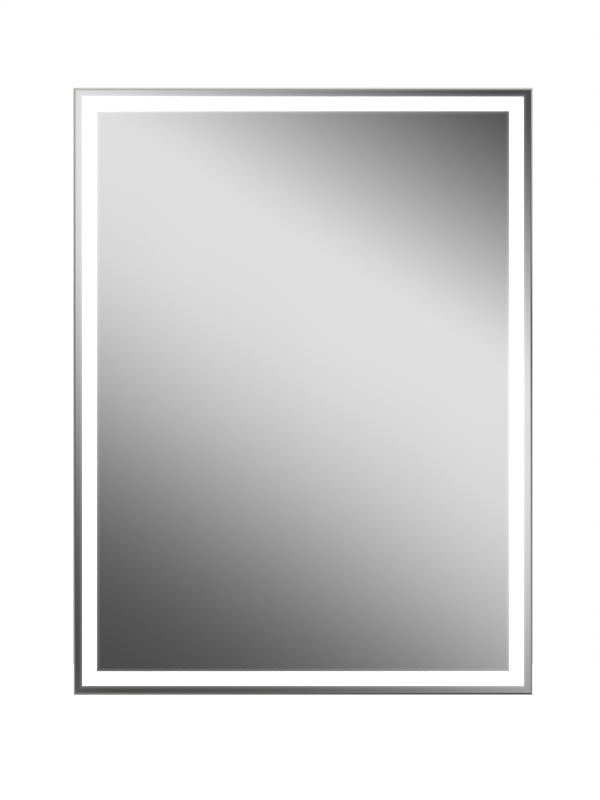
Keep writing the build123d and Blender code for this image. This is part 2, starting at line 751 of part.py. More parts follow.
with BuildPart() as terminal_block:
    terminal_mid_y = body_front_y + terminal_depth + terminal_width / 2
    with BuildSketch(Plane.XY.offset(inner_z - terminal_height)):
        with Locations((terminal_x, terminal_mid_y)):
            Rectangle(terminal_length, terminal_width)
    extrude(amount=terminal_height)
    chamfer(terminal_block.edges().filter_by(Axis.X).group_by(Axis.Z)[0], terminal_chamfer)
    with BuildSketch(Plane.XY.offset(inner_z - terminal_height)):
        with Locations((terminal_x, terminal_mid_y)):
            with GridLocations(terminal_length / terminal_ways, 1, terminal_ways, 1):
                Circle(terminal_port_radius)
    extrude(amount=terminal_port_depth, mode=Mode.SUBTRACT)
keep("terminal_block", terminal_block)


def grommet(inner_radius, wall_thickness):
    """A plain cable bush: a flange on the outer side of a sheet and a sleeve through it."""
    outer = inner_radius + grommet_wall
    Cylinder(outer - grommet_clearance, wall_thickness, align=(Align.CENTER, Align.CENTER, Align.MAX))
    Cylinder(outer + grommet_flange, grommet_flange_thickness,
             align=(Align.CENTER, Align.CENTER, Align.MIN))
    Cylinder(inner_radius, 4 * wall_thickness, mode=Mode.SUBTRACT)


with BuildPart() as wall_cable_grommet:
    with Locations(facing_front(-wall_rail_thickness) * Pos(wall_cable_x, wall_cable_z, 0)):
        grommet(wall_cable_radius, wall_rail_thickness)
keep("wall_cable_grommet", wall_cable_grommet)

with BuildPart() as cover_cable_grommet:
    with Locations(facing_front(cover_front_y) * Pos(cover_cable_x, cover_cable_z, 0)):
        grommet(door_cable_radius, cover_thickness)
keep("cover_cable_grommet", cover_cable_grommet)

with BuildPart() as door_cable_grommet:
    with Locations(facing_wall(door_rear_y) * Pos(*door_cable_spot, 0)):
        grommet(door_cable_radius, flange_thickness)
keep("door_cable_grommet", door_cable_grommet)

# Sensor switch in the bottom panel
sensor_face = Plane((sensor_x, body_front_y + sensor_depth, -body_height / 2), x_dir=(1, 0, 0),
                    z_dir=(0, 0, -1))
with BuildPart() as sensor_switch:
    with Locations(sensor_face):
        Cylinder(sensor_radius, sensor_body_height, align=(Align.CENTER, Align.CENTER, Align.MAX))
        Cylinder(sensor_radius + sensor_flange, sensor_flange_thickness,
                 align=(Align.CENTER, Align.CENTER, Align.MIN))
    chamfer(sensor_switch.edges().group_by(Axis.Z)[0], sensor_flange_thickness / 2)
    with Locations(sensor_face):
        Cylinder(sensor_lens_radius, sensor_lens_depth, align=(Align.CENTER, Align.CENTER, Align.MAX),
                 mode=Mode.SUBTRACT)
        Cylinder(sensor_lens_radius, sensor_flange_thickness,
                 align=(Align.CENTER, Align.CENTER, Align.MIN), mode=Mode.SUBTRACT)
keep("sensor_switch", sensor_switch)

with BuildPart() as sensor_lens:
    with Locations(sensor_face):
        Cylinder(sensor_lens_radius, sensor_lens_depth, align=(Align.CENTER, Align.CENTER, Align.MAX))
        Cylinder(sensor_lens_radius, sensor_flange_thickness / 2,
                 align=(Align.CENTER, Align.CENTER, Align.MIN))
keep("sensor_lens", sensor_lens)

# Soft bumpers for the door's free side
with BuildPart() as door_bumpers:
    with Locations([facing_front(body_front_y) * Pos(body_width / 2 - panel_thickness / 2, side *
                    (body_height / 2 - bumper_inset), 0) for side in (-1, 1)]):
        Cylinder(bumper_radius, door_gap - bumper_air, align=(Align.CENTER, Align.CENTER, Align.MIN))
    chamfer(door_bumpers.edges().group_by(Axis.Y)[0], bumper_chamfer)
keep("door_bumpers", door_bumpers)


# Hinges
def elbow(start, bend, end):
    """Trace a link's bent bar in the sketch being drawn."""
    with BuildLine() as centre_line:
        FilletPolyline(start, bend, end, radius=link_bend_radius)
    trace(centre_line.edges(), line_width=link_width)


def disc(centre, radius, mode=Mode.ADD):
    """Add or cut a disc in the sketch being drawn."""
    with Locations(centre):
        Circle(radius, mode=mode)


def outer_link(plane):
    """The solid link in the middle of the hinge, on tight pins at both ends."""
    with BuildPart() as link:
        with BuildSketch(plane):
            elbow(outer_fixed_pivot, outer_elbow, outer_moving_pivot)
            disc(outer_fixed_pivot, fixed_boss_radius)
            disc(outer_moving_pivot, outer_boss_radius)
            disc(outer_fixed_pivot, pin_radius + pin_clearance, Mode.SUBTRACT)
            disc(outer_moving_pivot, pin_radius + pin_clearance, Mode.SUBTRACT)
        extrude(amount=outer_link_half, both=True)
    return link


def inner_link(plane):
    """Two plates outside the outer link, joined by a hub at the arm. Their wide holes at the door
    leave the linkage open there."""
    with BuildPart() as link:
        with BuildSketch(plane):
            elbow(inner_fixed_pivot, inner_elbow, open_hole_centre)
            disc(inner_fixed_pivot, fixed_boss_radius)
            disc(open_hole_centre, open_hole_radius + open_boss_wall)
            disc(open_hole_centre, open_hole_radius, Mode.SUBTRACT)
        extrude(amount=inner_plate_far, both=True)
        with BuildSketch(plane):
            Rectangle(4 * body_depth, 4 * body_depth)
        extrude(amount=inner_plate_near, both=True, mode=Mode.SUBTRACT)
        with BuildSketch(plane):
            disc(inner_fixed_pivot, fixed_boss_radius)
        extrude(amount=inner_plate_far, both=True)
        with BuildSketch(plane):
            disc(inner_fixed_pivot, pin_radius + pin_clearance)
        extrude(amount=inner_plate_far, both=True, mode=Mode.SUBTRACT)
    return link


def hinge_cup(plane):
    """A box set into the door rail, open to the back, with ears in the rail's channel."""
    with BuildPart() as cup:
        with BuildSketch(plane):
            bar(cup_left, cup_right, door_rear_v, cup_deep)
        extrude(amount=cup_half, both=True)
        with BuildSketch(plane):
            bar(cup_left, cup_right, channel_near_v + ear_clearance, channel_far_v - ear_clearance)
        extrude(amount=cup_half + ear_reach, both=True)
        with BuildSketch(plane):
            bar(cup_left, cup_right - cup_end_wall, door_rear_v, cup_deep - cup_floor)
        extrude(amount=cup_inner_half, both=True, mode=Mode.SUBTRACT)
        with BuildSketch(plane):
            disc(outer_moving_pivot, pin_radius + pin_clearance)
            disc(inner_moving_pivot, pin_radius + pin_clearance)
        extrude(amount=cup_half, both=True, mode=Mode.SUBTRACT)
        ear_face = Plane(plane.origin + plane.x_dir * ear_middle_u + plane.y_dir * channel_near_v,
                         x_dir=plane.x_dir, z_dir=(0, 1, 0))
        with Locations([ear_face * Pos(0, side * (cup_half + ear_screw_reach), 0) for side in (-1, 1)]):
            Cylinder(ear_screw_radius + screw_clearance, 3 * channel_height, mode=Mode.SUBTRACT)
    return cup


arm_inner_half = inner_plate_far + link_gap
arm_half = arm_inner_half + arm_wall
arm_base_u = panel_thickness + plate_thickness


def hinge_arm(plane):
    """A folded channel on the mounting plate, whose two cheeks hold both fixed pivots."""
    with BuildPart() as arm:
        with BuildSketch(plane) as cheek:
            with BuildLine():
                Polyline((arm_base_u, -arm_depth), (arm_base_u, -arm_web_front),
                         (inner_fixed_pivot[0], inner_fixed_pivot[1] + arm_crown),
                         (inner_fixed_pivot[0] + arm_crown, inner_fixed_pivot[1]),
                         (outer_fixed_pivot[0] + arm_shoulder, outer_fixed_pivot[1] - arm_shoulder_drop),
                         (arm_base_u + arm_tail, -arm_depth), close=True)
            make_face()
            fillet(cheek.vertices().group_by(Axis.Y)[0].sort_by(Axis.X)[-1], arm_tail_radius)
        extrude(amount=arm_half, both=True)
        with BuildSketch(plane):
            Rectangle(4 * body_depth, 4 * body_depth)
            bar(arm_base_u, arm_base_u + arm_web, -arm_depth, -arm_web_front, mode=Mode.SUBTRACT)
        extrude(amount=arm_inner_half, both=True, mode=Mode.SUBTRACT)
        with BuildSketch(plane):
            disc(outer_fixed_pivot, pin_radius + pin_clearance)
            disc(inner_fixed_pivot, pin_radius + pin_clearance)
        extrude(amount=arm_half, both=True, mode=Mode.SUBTRACT)
        with Locations(plane * Location((arm_base_u, -arm_screw_depth, 0), (0, 90, 0))):
            Cylinder(arm_screw_radius + screw_clearance, 3 * arm_web, mode=Mode.SUBTRACT)
    return arm


def mounting_plate(plane):
    """A cross-shaped plate on the side panel, with a screw in each wing."""
    with BuildPart() as plate:
        face = Plane(plane.origin + plane.x_dir * panel_thickness, x_dir=plane.z_dir, z_dir=plane.x_dir)
        with BuildSketch(face):
            bar(-plate_half_width, plate_half_width, plate_front, plate_rear)
            with Locations((0, wing_depth)):
                RectangleRounded(2 * wing_reach, wing_width, wing_corner_radius)
        extrude(amount=plate_thickness)
        with Locations([face * Pos(side * wing_screw_reach, wing_depth, 0) for side in (-1, 1)]):
            Cylinder(wing_screw_radius + screw_clearance, 3 * plate_thickness, mode=Mode.SUBTRACT)
        with Locations(face * Pos(0, arm_screw_depth, 0)):
            Cylinder(arm_screw_radius + screw_clearance, 3 * plate_thickness, mode=Mode.SUBTRACT)
    return plate


for name, plane in hinge_planes.items():
    keep(f"{name}_outer_link", outer_link(plane))
    keep(f"{name}_inner_link", inner_link(plane))
    keep(f"{name}_hinge_cup", hinge_cup(plane))
    keep(f"{name}_hinge_arm", hinge_arm(plane))
    keep(f"{name}_mounting_plate", mounting_plate(plane))

with BuildPart() as cup_pins:
    for plane in hinge_planes.values():
        with BuildSketch(plane):
            disc(outer_moving_pivot, pin_radius)
            disc(inner_moving_pivot, pin_radius)
        extrude(amount=cup_half, both=True)
keep("cup_pins", cup_pins)

with BuildPart() as arm_pins:
    for plane in hinge_planes.values():
        with BuildSketch(plane):
            disc(outer_fixed_pivot, pin_radius)
            disc(inner_fixed_pivot, pin_radius)
        extrude(amount=arm_half + pin_overhang, both=True)
keep("arm_pins", arm_pins)

with BuildPart() as cup_screws:
    with Locations([facing_wall(door_rear_y) * Pos(x, z, 0) for x, z in ear_screw_spots]):
        countersunk(ear_screw_radius, ear_head_radius, flange_thickness, flange_screw_length)
keep("cup_screws", cup_screws)

with BuildPart() as plate_screws:
    with Locations([on_inner_face("left", z, depth) * Pos(0, 0, plate_thickness)
                    for z, depth in wing_spots]):
        pan_head(wing_screw_radius, wing_screw_head, wing_screw_length)
    with Locations([on_inner_face("left", z, arm_screw_depth) * Pos(0, 0, plate_thickness + arm_web)
                    for z in hinge_heights.values()]):
        pan_head(arm_screw_radius, arm_screw_head, arm_web + plate_thickness - screw_tip_gap)
keep("plate_screws", plate_screws)

# Soft-close dampers, lying in the arms behind the fixed pivots
with BuildPart() as hinge_dampers:
    for z in hinge_heights.values():
        damper_u = arm_base_u + arm_web + damper_radius
        seat = Plane((-body_width / 2 + damper_u, body_front_y + damper_front, z), x_dir=(1, 0, 0),
                     z_dir=(0, 1, 0))
        with Locations(Location(seat)):
            Cylinder(damper_radius, damper_length, align=(Align.CENTER, Align.CENTER, Align.MIN))
            Cylinder(damper_rod_radius, damper_rod_length, align=(Align.CENTER, Align.CENTER, Align.MAX))
keep("hinge_dampers", hinge_dampers)
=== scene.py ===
import math

import bmesh
import bpy
from mathutils import Matrix, Vector


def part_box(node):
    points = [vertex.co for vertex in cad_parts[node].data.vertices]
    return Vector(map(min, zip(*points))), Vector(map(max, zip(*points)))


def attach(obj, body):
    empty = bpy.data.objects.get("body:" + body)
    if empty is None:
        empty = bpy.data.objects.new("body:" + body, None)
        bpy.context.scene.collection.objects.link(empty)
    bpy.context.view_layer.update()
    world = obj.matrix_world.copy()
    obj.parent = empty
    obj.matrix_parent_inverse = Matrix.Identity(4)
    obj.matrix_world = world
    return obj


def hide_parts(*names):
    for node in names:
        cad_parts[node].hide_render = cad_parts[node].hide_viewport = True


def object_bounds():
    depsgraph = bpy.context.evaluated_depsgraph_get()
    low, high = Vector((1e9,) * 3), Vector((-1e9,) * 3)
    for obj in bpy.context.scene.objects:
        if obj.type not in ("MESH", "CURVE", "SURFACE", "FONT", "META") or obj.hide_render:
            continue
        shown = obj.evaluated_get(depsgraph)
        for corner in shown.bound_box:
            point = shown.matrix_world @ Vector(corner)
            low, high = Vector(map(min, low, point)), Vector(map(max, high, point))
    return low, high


# Lighted mirror cabinet: the finish of every piece, the glass panes, the screw heads and the studio.
# Lengths are in metres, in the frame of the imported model: +X right, +Y into the wall, +Z up.

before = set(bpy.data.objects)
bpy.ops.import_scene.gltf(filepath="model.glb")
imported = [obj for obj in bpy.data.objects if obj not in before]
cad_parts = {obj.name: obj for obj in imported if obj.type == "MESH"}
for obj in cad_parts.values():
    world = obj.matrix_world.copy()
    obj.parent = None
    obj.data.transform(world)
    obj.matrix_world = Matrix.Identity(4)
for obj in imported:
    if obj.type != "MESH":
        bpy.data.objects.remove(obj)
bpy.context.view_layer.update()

MM = 0.001

# Photograph
PHOTO_WIDTH = 600
PHOTO_HEIGHT = 800
SENSOR_WIDTH = 27.0
CAMERA_DISTANCE = 3.2
PHOTO_METRES_PER_PIXEL = 1.3175 * MM
DOOR_CENTRE_PIXEL = (303.0, 391.3)

# Front glass: the band is measured inward from the door's outer edge
BAND_OFFSET = 12 * MM
BAND_WIDTH = 18.5 * MM
# The halo is a painted glow: emission on the silvering beside the band, fading out over the halo's width, in
# place of light that strays through the glass
HALO_WIDTH = 5.3 * MM
PAINTED_HALO_LIGHT = 0.165
HALO_POWER = 1.6
ARRIS = 0.4 * MM
PANE_ARRIS = 0.5 * MM

# Drawn aluminium: its die lines are about 0.4 mm apart, drawn four times as coarse so that they show
DIE_LINE_SPACING = 1.6 * MM
DIE_LINE_STRETCH = 300

# Front lip of the door rails: polished, and rolled over by this much towards the door's outer edge
LIP_WIDTH = 3.2 * MM
LIP_DEPTH = 1.1 * MM
LIP_ROLL = 1.3 * MM
LIP_ROLL_POWER = 3.0
LIP_ROUGHNESS = 0.1
RAIL_ROUGHNESS = 0.29

# Screws
SCREW_SIDES = 28
SCREW_TIP = 0.3 * MM

# Studio floor below the cabinet, white again beyond its shadow
FLOOR_HALF = 3.0
FLOOR_DROP = 0.3
FLOOR_GLOW = 0.13
SHADOW_REACH = 0.45
FADE_REACH = 1.5

# Light tent round the cabinet, which only reflections show. Its cloth is lit in diagonal bands, each
# with a long fall to its left and a short one to its right.
TENT_RADIUS = 1.5
TENT_HEIGHT = 4.5
TENT_SIDES = 256
TENT_RINGS = 96
TENT_SLOPE = 1.592
TENT_PEAK = 0.439
TENT_PERIOD = 2.5
TENT_LEFT_REACH = 1.7
TENT_BRIGHT = 0.82
TENT_LEFT_DARK = 0.073
TENT_LEFT_SPREAD = 0.939
TENT_LEFT_POWER = 2.74
TENT_RIGHT_DARK = -0.06
TENT_RIGHT_SPREAD = 0.524
TENT_RIGHT_POWER = 1.42
TENT_SIDE_DARK = 0.52
TENT_SIDE_BRIGHT = 0.95
TENT_AHEAD_FADE = (0.4, 0.9)
TENT_TOP = 0.95
TENT_TOP_FADE = (0.75, 1.0)
TENT_FOOT = 0.08
TENT_FOOT_FADE = (-1.5, -1.05)

# Dark flags at the tent's sides, which draw a line along rounded edges
FLAG_ANGLE = math.radians(75)
FLAG_HALF_ANGLE = math.radians(25)
FLAG_FADE = math.radians(7)
FLAG_TOP_FADE = (0.1, 0.3)
FLAG_FOOT_FADE = (-0.85, -0.6)
RIGHT_FLAG = 0.05
LEFT_FLAG = 0.42

# Light from the world: white in reflections from above, darker from below, soft on matt surfaces
AMBIENT = 0.45
REFLECTED_FLOOR = 0.15
HORIZON_FADE = 0.3


def linear(colour):
    """An sRGB hex colour as linear red, green, blue and alpha."""
    parts = [int(colour[i:i + 2], 16) / 255 for i in (1, 3, 5)]
    return [p / 12.92 if p <= 0.04045 else ((p + 0.055) / 1.055) ** 2.4 for p in parts] + [1.0]


def add_node(tree, kind, settings=None, links=None):
    """One node with its properties and socket values in settings, and its inputs in links."""
    added = tree.nodes.new(kind)
    for key, value in (settings or {}).items():
        if isinstance(key, int) or key in added.inputs:
            added.inputs[key].default_value = value
        else:
            setattr(added, key, value)
    for key, socket in (links or {}).items():
        tree.links.new(socket, added.inputs[key])
    return added


def new_material(name, surface):
    """A material with one principled shader, whose plain values are in surface."""
    made = bpy.data.materials.new(name)
    made.use_nodes = True
    tree = made.node_tree
    tree.nodes.clear()
    shader = add_node(tree, "ShaderNodeBsdfPrincipled", surface)
    add_node(tree, "ShaderNodeOutputMaterial", links={"Surface": shader.outputs[0]})
    return made, tree, shader


def grained(name, surface, spacing, dark, light, stretch=(1, 1, 1), detail=3.0, roughness=None,
            relief=None, edge=0.0):
    """A material whose colour runs between two tones with a grain of that spacing, drawn out along
    the axes of stretch. Its roughness and a relief of that depth follow the same grain, and its edges
    look softened to a radius."""
    made, tree, shader = new_material(name, surface)
    place = add_node(tree, "ShaderNodeTexCoord")
    drawn = add_node(tree, "ShaderNodeMapping", {"Scale": [1 / (spacing * s) for s in stretch]},
                     {"Vector": place.outputs["Object"]})
    noise = add_node(tree, "ShaderNodeTexNoise", {"Scale": 1.0, "Detail": detail, "Roughness": 0.55},
                     {"Vector": drawn.outputs[0]})
    grain = add_node(tree, "ShaderNodeMapRange", {"From Min": 0.3, "From Max": 0.7},
                     {"Value": noise.outputs[0]}).outputs[0]
    tone = add_node(tree, "ShaderNodeMix", {"data_type": "RGBA", 6: linear(dark), 7: linear(light)},
                    {0: grain})
    tree.links.new(tone.outputs[2], shader.inputs["Base Color"])
    if roughness:
        matt = add_node(tree, "ShaderNodeMapRange", {"To Min": roughness[0], "To Max": roughness[1]},
                        {"Value": grain})
        tree.links.new(matt.outputs[0], shader.inputs["Roughness"])
    if relief:
        bump = add_node(tree, "ShaderNodeBump", {"Distance": relief, "Strength": 0.5}, {"Height": grain})
        tree.links.new(bump.outputs[0], shader.inputs["Normal"])
        if edge:
            soft = add_node(tree, "ShaderNodeBevel", {"samples": 4, "Radius": edge})
            tree.links.new(soft.outputs[0], bump.inputs["Normal"])
    return made, tree, shader


def drawn_along(along):
    """The stretch that turns a grain into die lines along one axis."""
    return [DIE_LINE_STRETCH if axis == along else 1 for axis in "XYZ"]


def anodised_aluminium(name, along):
    """Drawn and satin-anodised aluminium: fine die lines along the rail, under a soft even sheen."""
    return grained(name, {"Metallic": 1.0}, DIE_LINE_SPACING, "#C9C9C8", "#CFCFCE", drawn_along(along), 2.0,
                   (0.27, 0.31), 0.0003 * MM, 0.3 * MM)[0]


def lipped_aluminium(name, along):
    """The door rails' aluminium: satin like the carcass, but polished bright on the thin front lip,
    which rolls over outward, so that a light and a dark line run round the glass."""
    made, tree, shader = grained(name, {"Metallic": 1.0}, DIE_LINE_SPACING, "#CDCDC9", "#D4D4D0",
                                 drawn_along(along), 2.0)
    low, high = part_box("door_frame_left")[0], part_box("door_frame_right")[1]
    across = 0 if along == "Z" else 2
    half = (high[across] - low[across]) / 2
    place = add_node(tree, "ShaderNodeTexCoord")
    axes = add_node(tree, "ShaderNodeSeparateXYZ", links={0: place.outputs["Object"]})
    behind = add_node(tree, "ShaderNodeMath", {"operation": "GREATER_THAN", 1: low.y + LIP_DEPTH},
                      {0: axes.outputs[1]})
    matt = add_node(tree, "ShaderNodeMapRange", {"To Min": LIP_ROUGHNESS, "To Max": RAIL_ROUGHNESS},
                    {"Value": behind.outputs[0]})
    tree.links.new(matt.outputs[0], shader.inputs["Roughness"])
    offset = add_node(tree, "ShaderNodeMath", {"operation": "SUBTRACT", 1: (high[across] + low[across]) / 2},
                      {0: axes.outputs[across]})
    reach = add_node(tree, "ShaderNodeMath", {"operation": "ABSOLUTE"}, {0: offset.outputs[0]})
    turn = add_node(tree, "ShaderNodeMapRange", {"From Min": half - LIP_WIDTH, "From Max": half,
                                                 "To Min": 0.0, "To Max": 1.0}, {"Value": reach.outputs[0]})
    roll = add_node(tree, "ShaderNodeMath", {"operation": "POWER", 1: LIP_ROLL_POWER}, {0: turn.outputs[0]})
    ahead = add_node(tree, "ShaderNodeMath", {"operation": "SUBTRACT", 0: 1.0}, {1: behind.outputs[0]})
    bump = add_node(tree, "ShaderNodeBump", {"invert": True, "Distance": LIP_ROLL},
                    {"Height": roll.outputs[0], "Strength": ahead.outputs[0]})
    tree.links.new(bump.outputs[0], shader.inputs["Normal"])
    return made


def silvered_glass():
    """Silvered float glass: a clean neutral mirror."""
    return grained("silvered_glass", {"Metallic": 1.0, "Roughness": 0.0}, 180 * MM, "#F2F2F2", "#F4F4F4",
                   detail=1.0)[0]


def silvered_glass_painted_halo():
    """The silvering next to the etched band, with a painted glow: emission strongest at the band's edge and
    fading away from it, in place of light that strays through that edge.
    """
    made, tree, shader = grained("silvered_glass_painted_halo", {"Metallic": 1.0, "Roughness": 0.02},
                                 180 * MM, "#F2F2F2", "#F4F4F4", detail=1.0)
    shader.inputs["Emission Color"].default_value = linear("#FFFFFF")
    # Painted glow: the emission strength follows the glow attribute, which is 1 at the band's edge
    glow = add_node(tree, "ShaderNodeAttribute", {"attribute_name": "glow"})
    spread = add_node(tree, "ShaderNodeMath", {"operation": "POWER", 1: HALO_POWER},
                      {0: glow.outputs["Fac"]})
    strength = add_node(tree, "ShaderNodeMath", {"operation": "MULTIPLY", 1: PAINTED_HALO_LIGHT},
                        {0: spread.outputs[0]})
    tree.links.new(strength.outputs[0], shader.inputs["Emission Strength"])
    return made


def etched_glass_lit():
    """Sand-etched glass over the opal sheet, lit from behind: an even white with a fine frost."""
    surface = {"IOR": 1.52, "Emission Color": linear("#FFFFFF"), "Emission Strength": 1.0}
    return grained("etched_glass_lit", surface, 0.5 * MM, "#F4F5F5", "#FAFAFA", detail=2.0,
                   roughness=(0.4, 0.5))[0]


def polished_glass_edge():
    """The polished edge of float glass, green where the sight runs along the sheet."""
    surface = {"Roughness": 0.06, "IOR": 1.52, "Transmission Weight": 0.3}
    return grained("polished_glass_edge", surface, 1.2 * MM, "#5F8577", "#7C9D90", (1, 12, 1), 2.0)[0]


def mirror_backing_paint():
    """The paint over the silver of a mirror's back: matt grey, rolled on with a faint orange peel."""
    return grained("mirror_backing_paint", {"IOR": 1.5}, 2.5 * MM, "#8E9396", "#9DA2A4",
                   roughness=(0.55, 0.65), relief=0.02 * MM)[0]


def clear_float_glass():
    """Clear float glass shelf: see-through, its polished edges green where the sight runs along it."""
    surface = {"Roughness": 0.02, "IOR": 1.52, "Transmission Weight": 1.0}
    made, tree, shader = grained("clear_float_glass", surface, 150 * MM, "#E4F2ED", "#ECF6F3", detail=1.0)
    faces = shader.inputs["Base Color"].links[0].from_socket
    place = add_node(tree, "ShaderNodeTexCoord")
    turned = add_node(tree, "ShaderNodeSeparateXYZ", links={0: place.outputs["Normal"]})
    upright = add_node(tree, "ShaderNodeMath", {"operation": "ABSOLUTE"}, {0: turned.outputs[2]})
    edged = add_node(tree, "ShaderNodeMix", {"data_type": "RGBA", 6: linear("#B2D3C8")},
                     {0: upright.outputs[0], 7: faces})
    tree.links.new(edged.outputs[2], shader.inputs["Base Color"])
    return made


def nickel_plated_steel():
    """Pressed steel, nickel plated: a bright, faintly warm grey, smooth from the press tool."""
    return grained("nickel_plated_steel", {"Metallic": 1.0}, 9 * MM, "#C6C4C0", "#CFCDC9", detail=2.0,
                   roughness=(0.2, 0.26), relief=0.004 * MM, edge=0.25 * MM)[0]


def zinc_plated_steel():
    """Zinc-plated steel screws and pins: a bluish grey, mottled by the plating bath."""
    return grained("zinc_plated_steel", {"Metallic": 1.0}, 1.5 * MM, "#AEB1B5", "#C0C3C6",
                   roughness=(0.26, 0.36), relief=0.004 * MM, edge=0.12 * MM)[0]


def bright_chrome():
    """Chrome plating on the shelf pins: dark and light reflections with almost no blur."""
    return grained("bright_chrome", {"Metallic": 1.0}, 6 * MM, "#D6D8DB", "#E2E4E6", detail=2.0,
                   roughness=(0.05, 0.1), relief=0.001 * MM, edge=0.25 * MM)[0]


def mill_aluminium():
    """Rolled aluminium sheet as it leaves the mill: streaks along the roll, duller than the rails."""
    return grained("mill_aluminium", {"Metallic": 1.0}, 2 * MM, "#B6B8BA", "#C6C8CA", (1, 1, 40), 4.0,
                   (0.38, 0.5), 0.004 * MM, 0.2 * MM)[0]


def powder_coat():
    """Fine-texture polyester powder coat on steel sheet: a soft white with a close, even grit."""
    # The grit is about 0.3 mm, drawn at 0.8 mm so that it shows
    return grained("white_powder_coat", {"IOR": 1.5}, 0.8 * MM, "#DEDEDC", "#E6E6E4",
                   roughness=(0.44, 0.52), relief=0.015 * MM, edge=0.4 * MM)[0]


def moulded(name, dark, light, roughness, spacing, ior=1.5):
    """A moulded piece: an even body colour with the faint bloom that the mould leaves."""
    return grained(name, {"IOR": ior}, spacing, dark, light, roughness=(roughness - 0.04, roughness + 0.04),
                   relief=0.004 * MM, edge=0.3 * MM)[0]


def lit(name, dark, light, strength, spacing):
    """A sheet or chip that gives light, with a trace of its own texture left in it."""
    made, tree, shader = grained(name, {"IOR": 1.49, "Emission Strength": strength}, spacing, dark, light,
                                 detail=2.0, roughness=(0.36, 0.44))
    tone = shader.inputs["Base Color"].links[0].from_socket
    tree.links.new(tone, shader.inputs["Emission Color"])
    return made


def paint_nodes(zinc):
    """Gives each carried-over node its finish."""
    hinge_pieces = [f"{place}_{part}" for place in ("upper", "middle", "lower")
                    for part in ("outer_link", "inner_link", "hinge_cup", "hinge_arm", "mounting_plate")]
    finishes = {
        lipped_aluminium("lipped_aluminium_upright", "Z"): ["door_frame_left", "door_frame_right"],
        lipped_aluminium("lipped_aluminium_level", "X"): ["door_frame_top", "door_frame_bottom"],
        anodised_aluminium("anodised_aluminium_upright", "Z"): ["side_panel_left", "side_panel_right"],
        anodised_aluminium("anodised_aluminium_level", "X"): ["top_panel", "bottom_panel"],
        mill_aluminium(): ["door_backing_tray", "door_corner_keys", "body_corner_keys"],
        powder_coat(): ["top_wall_rail", "bottom_wall_rail", "electrics_cover", "cover_brackets"],
        zinc: ["cup_pins", "arm_pins"],
        nickel_plated_steel(): hinge_pieces,
        bright_chrome(): ["shelf_supports"],
        clear_float_glass(): ["upper_shelf", "lower_shelf"],
        # Cast opal acrylic with light behind it: an even glow without hot spots
        lit("opal_acrylic_lit", "#F6F7F6", "#FFFFFF", 1.0, 8 * MM): ["opal_diffuser"],
        # Phosphor in silicone on each light chip: a warm, slightly grainy yellow that glows
        lit("phosphor_silicone_lit", "#FFE9A8", "#FFF4CC", 1.0, 0.6 * MM): ["led_chips"],
        # Clear cast acrylic with printed dots that lead the light out: a milky sheen
        lit("clear_acrylic_lit", "#E8F0EF", "#F4F8F7", 0.4, 5 * MM): ["light_guide"],
        # White solder mask on a circuit board: satin, with faint shades over the copper
        moulded("white_solder_mask", "#E4E6E2", "#EEF0EC", 0.42, 3 * MM): ["led_strips"],
        # Foamed polyester film: the brightest plain white, with a soft sheen
        moulded("white_polyester_film", "#E9E9E9", "#F2F2F2", 0.5, 4 * MM): ["reflector_sheet"],
        # Polyethylene foam tape: dull, with the small cells of its cut edge
        moulded("polyethylene_foam", "#D8D8D6", "#E6E6E4", 0.85, 0.6 * MM): ["mirror_tape"],
        # Polycarbonate from a sparked mould: warm white with a fine even grain
        moulded("white_polycarbonate", "#DADAD7", "#E3E3E0", 0.4, 0.9 * MM): ["led_driver"],
        # Moulded polyamide: a greyer white, a little waxy
        moulded("white_polyamide", "#CFCFCA", "#DBDBD6", 0.36, 1.5 * MM): ["terminal_block"],
        # Cast silicone pads: cloudy and smooth, with a soft highlight
        moulded("clear_silicone", "#C9CCCC", "#D6D9D9", 0.3, 2 * MM, 1.41): ["door_bumpers"],
        # Moulded rubber: near black and dull, with a dusty bloom
        moulded("black_rubber", "#17171A", "#212124", 0.62, 0.9 * MM): [
            "wall_cable_grommet", "cover_cable_grommet", "door_cable_grommet"],
        # Gloss-moulded ABS: black with clear, slightly wavy reflections
        moulded("black_abs", "#101113", "#191A1C", 0.22, 2 * MM): ["sensor_switch"],
        # Polycarbonate that passes infrared only: nearly black, deep red against the light
        moulded("infrared_polycarbonate", "#2A0508", "#38090D", 0.08, 3 * MM): ["sensor_lens"],
        # Moulded acetal: a slick mid grey with a broad highlight
        moulded("grey_acetal", "#83868B", "#93969B", 0.34, 1.5 * MM): ["hinge_dampers"],
    }
    for finish, names in finishes.items():
        for name in names:
            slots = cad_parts[name].data.materials
            slots.clear()
            slots.append(finish)


def add_piece(name, fill_mesh, finishes, body, replaced):
    """A mesh piece that rides on a body and stands for CAD nodes."""
    mesh = bpy.data.meshes.new(name)
    bm = bmesh.new()
    fill_mesh(bm)
    bmesh.ops.recalc_face_normals(bm, faces=bm.faces)
    bm.to_mesh(mesh)
    bm.free()
    for finish in finishes:
        mesh.materials.append(finish)
    piece = bpy.data.objects.new(name, mesh)
    bpy.context.scene.collection.objects.link(piece)
    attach(piece, body)
    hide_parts(*replaced)


def loose_parts(node):
    """The vertices of each separate solid of a node, as lists of points in the mesh's own order."""
    bm = bmesh.new()
    bm.from_mesh(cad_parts[node].data)
    bmesh.ops.remove_doubles(bm, verts=bm.verts, dist=0.001 * MM)
    found = set()
    parts = []
    for start in bm.verts:
        if start in found:
            continue
        found.add(start)
        waiting = [start]
        part = []
        while waiting:
            vertex = waiting.pop()
            part.append(vertex.co.copy())
            for edge in vertex.link_edges:
                near = edge.other_vert(vertex)
                if near not in found:
                    found.add(near)
                    waiting.append(near)
        parts.append(part)
    bm.free()
    return parts


